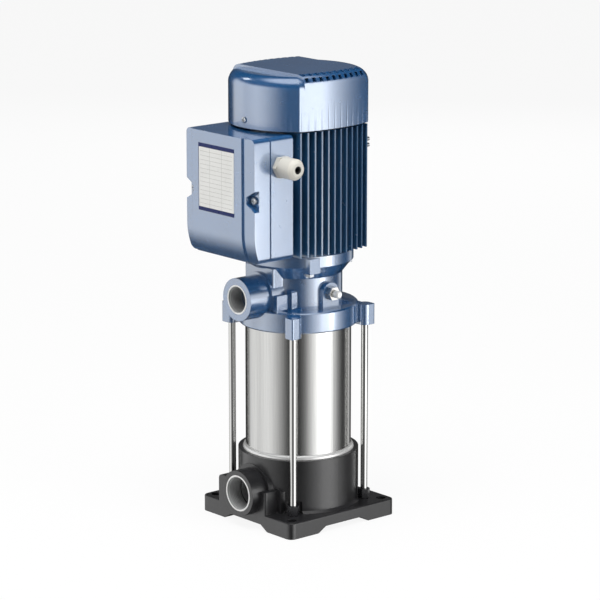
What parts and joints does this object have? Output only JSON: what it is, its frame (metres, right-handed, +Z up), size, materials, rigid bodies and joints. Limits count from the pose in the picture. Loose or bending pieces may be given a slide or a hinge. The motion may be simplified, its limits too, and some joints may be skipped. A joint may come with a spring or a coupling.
{
  "type": "multistage pump",
  "caption": "Vertical multistage pump: foot casting with suction port, stainless jacket held by tie rods, discharge head and finned electric motor with a terminal box.",
  "frame": {"origin": "centre of the four bolt holes, on the floor plane under the feet", "axes": "+Z up along the shaft, -Y out of both ports and towards the terminal box, +X towards the cable gland and the vent plug"},
  "size_m": [0.174, 0.2061, 0.5536],
  "materials": {
    "blue_casting": "glossy metallic blue enamel on cast aluminium",
    "black_casting": "satin black cataphoretic paint",
    "stainless_jacket": "rolled stainless sheet, fine vertical grain",
    "polished_steel": "bright drawn stainless bar",
    "black_nuts": "black painted steel",
    "nickel_plug": "nickel-plated brass",
    "zinc_screws": "bright zinc plating",
    "shaft_steel": "ground steel",
    "seal_ring": "lapped ceramic",
    "seal_body": "moulded rubber bellows",
    "bearing_steel": "ground bearing steel",
    "core_steel": "stacked electrical sheet",
    "copper_wire": "varnished copper wire",
    "bare_aluminium": "machined aluminium",
    "black_plastic": "moulded nylon",
    "block_plastic": "moulded phenolic",
    "gland_plastic": "moulded light grey nylon",
    "label_film": "printed film",
    "stage_plastic": "glass-filled moulding",
    "impeller_plastic": "glass-filled moulding"
  },
  "bodies": {
    "housing": {"bearing_outer_rings": "bearing_steel", "cable_gland": "gland_plastic", "discharge_body": "blue_casting", "drain_plug": "nickel_plug", "earth_screws": "zinc_screws", "fan_cover": "blue_casting", "fan_cover_screws": "zinc_screws", "gland_lock_nut": "gland_plastic", "gland_nut": "gland_plastic", "jacket": "stainless_jacket", "motor_bolts": "zinc_screws", "motor_frame": "blue_casting", "rating_label": "label_film", "run_capacitor": "bare_aluminium", "seal_seat": "seal_ring", "stage_chamber_1": "stage_plastic", "stage_chamber_2": "stage_plastic", "stage_chamber_3": "stage_plastic", "stage_chamber_4": "stage_plastic", "stator_core": "core_steel", "stator_windings": "copper_wire", "suction_body": "black_casting", "terminal_block": "block_plastic", "terminal_box": "blue_casting", "terminal_cover": "blue_casting", "terminal_cover_screws": "zinc_screws", "tie_rod_nuts": "black_nuts", "tie_rods": "polished_steel", "upper_end_shield": "bare_aluminium", "vent_plug": "nickel_plug"},
    "rotor": {"shaft": "shaft_steel", "shaft_nut": "shaft_steel", "seal_head": "seal_body", "bearing_inner_rings": "bearing_steel", "rotor_core": "core_steel", "fan": "black_plastic", "impeller_1": "impeller_plastic", "impeller_2": "impeller_plastic", "impeller_3": "impeller_plastic", "impeller_4": "impeller_plastic"},
    "bleed_needle": {"bleed_stem": "nickel_plug"},
    "bleed_handle": {"bleed_knob": "nickel_plug"}
  },
  "joints": [
    {"name": "rotor_spin", "type": "hinge", "parent": "housing", "child": "rotor", "pos_m": [0, 0, 0.327], "axis": [0, 0, 1], "continuous": true},
    {"name": "bleed_travel", "type": "slide", "parent": "housing", "child": "bleed_needle", "axis": [1, 0, 0], "range_m": [0, 0.003]},
    {"name": "bleed_turn", "type": "hinge", "parent": "bleed_needle", "child": "bleed_handle", "pos_m": [0.07, 0, 0.2865], "axis": [1, 0, 0], "range_deg": [0, 1080]}
  ],
  "couplings": [
    {"joint": "bleed_turn", "follows": "bleed_travel", "rad_per_m": 6283.2}
  ]
}
